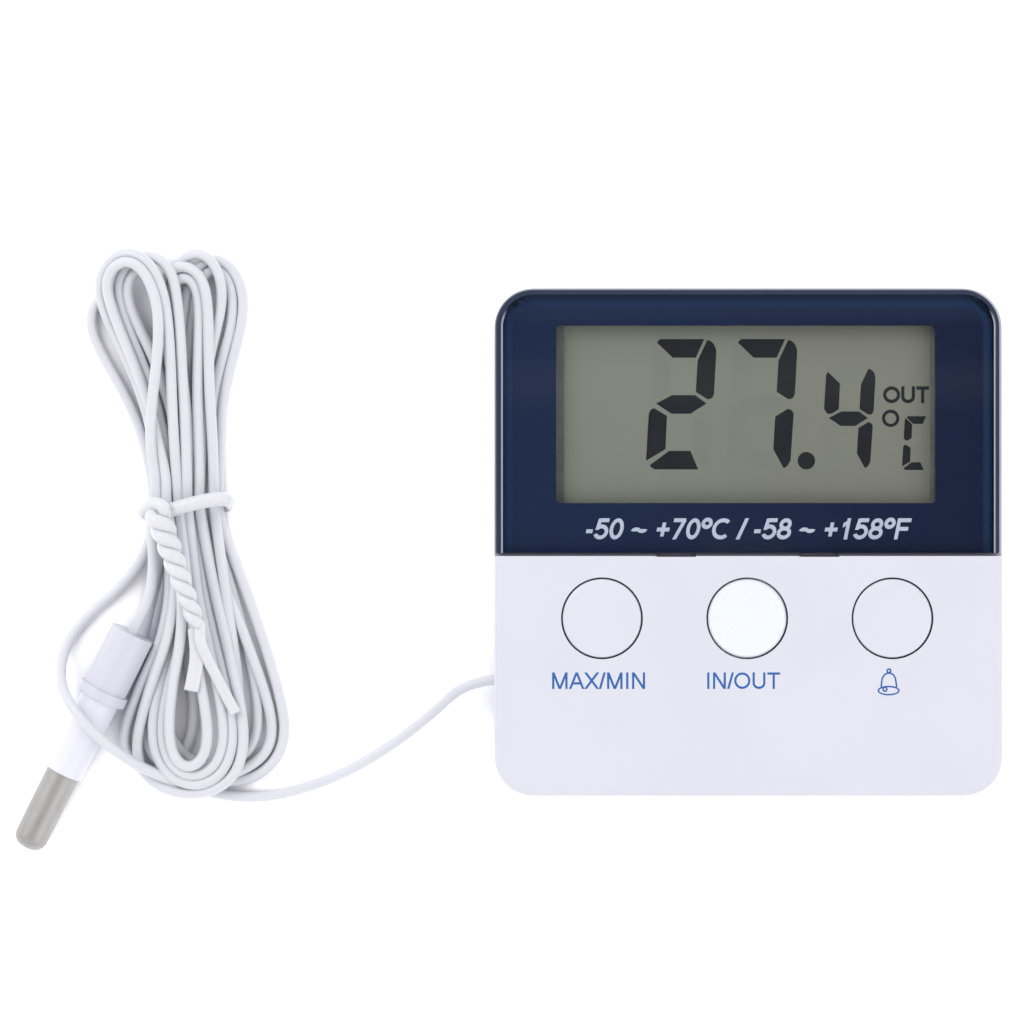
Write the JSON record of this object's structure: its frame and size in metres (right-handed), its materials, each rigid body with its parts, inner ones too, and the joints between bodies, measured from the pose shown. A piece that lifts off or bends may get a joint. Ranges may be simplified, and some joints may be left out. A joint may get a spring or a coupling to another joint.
{
  "type": "maximum minimum thermometer",
  "caption": "Pocket-size square digital maximum and minimum thermometer with a wired sensor probe on a thin tied cord, display window above a row of round buttons.",
  "frame": {"origin": "middle of the case's flat back, on the surface it lies on", "axes": "+Z out of the display, +Y towards the top of the display, +X to its right"},
  "size_m": [0.118, 0.0728, 0.015],
  "materials": {
    "white_case": "fine moulded texture",
    "white_button": "satin",
    "lens": "gloss acrylic",
    "navy_print": "screen print behind acrylic",
    "display_glass": "polished",
    "display_film": "matte grey-green film",
    "black_foam": "foam",
    "white_inner": "moulded",
    "grey_rubber": "striped rubber",
    "board": "solder mask",
    "black_epoxy": "epoxy",
    "chip": "ceramic",
    "steel": "plated",
    "polished_steel": "polished",
    "brass": "satin",
    "ceramic": "fired ceramic",
    "switch_black": "moulded",
    "cell_jacket": "printed jacket",
    "cord_pvc": "soft PVC",
    "tie_pvc": "PVC-coated wire",
    "probe_white": "satin moulded",
    "copper": "tinned copper in PVC"
  },
  "bodies": {
    "case": {"front_shell": "white_case", "rear_shell": "white_case", "case_screws": "steel", "stand_pin": "steel", "window_lens": "lens", "window_print": "navy_print", "display_gasket": "black_foam", "display_front_polariser": "display_film", "display_front_glass": "display_glass", "display_rear_glass": "display_glass", "display_reflector": "display_film", "display_holder": "white_inner", "rubber_contact_strip": "grey_rubber", "circuit_board": "board", "board_screws": "steel", "controller_blob": "black_epoxy", "clock_crystal": "steel", "chip_capacitors": "chip", "room_thermistor": "black_epoxy", "sounder_disc": "brass", "sounder_ceramic": "ceramic", "battery_cell": "cell_jacket", "battery_spring": "steel", "contact_plate_negative": "steel", "contact_plate_positive": "steel", "cord_stop": "cord_pvc", "sensor_wire_a": "copper", "sensor_wire_b": "copper", "cord_lead": "cord_pvc", "cord_hank": "cord_pvc", "cord_tail": "cord_pvc", "wire_tie": "tie_pvc", "probe_cap": "probe_white", "probe_sleeve": "probe_white", "probe_tip": "polished_steel", "thermistor_bead": "black_epoxy", "probe_potting": "black_epoxy", "switch_housing_max_min": "switch_black", "switch_dome_max_min": "steel", "switch_housing_in_out": "switch_black", "switch_dome_in_out": "steel", "switch_housing_alarm": "switch_black", "switch_dome_alarm": "steel"},
    "button_max_min": {"button_max_min": "white_button", "switch_plunger_max_min": "switch_black"},
    "button_in_out": {"button_in_out": "white_button", "switch_plunger_in_out": "switch_black"},
    "button_alarm": {"button_alarm": "white_button", "switch_plunger_alarm": "switch_black"},
    "door": {"battery_door": "white_case"},
    "stand": {"stand_leg": "white_case"}
  },
  "joints": [
    {"name": "max_min_press", "type": "slide", "parent": "case", "child": "button_max_min", "axis": [0, 0, -1], "range_m": [0, 0.0005], "stiffness_N_per_m": 3000, "deforming": ["switch_dome_max_min"]},
    {"name": "in_out_press", "type": "slide", "parent": "case", "child": "button_in_out", "axis": [0, 0, -1], "range_m": [0, 0.0005], "stiffness_N_per_m": 3000, "deforming": ["switch_dome_in_out"]},
    {"name": "alarm_press", "type": "slide", "parent": "case", "child": "button_alarm", "axis": [0, 0, -1], "range_m": [0, 0.0005], "stiffness_N_per_m": 3000, "deforming": ["switch_dome_alarm"]},
    {"name": "door_slide", "type": "slide", "parent": "case", "child": "door", "axis": [0, -1, 0], "range_m": [0, 0.0145]},
    {"name": "stand_hinge", "type": "hinge", "parent": "case", "child": "stand", "pos_m": [0, -0.012, 0.00105], "axis": [-1, 0, 0], "range_deg": [0, 115]}
  ]
}
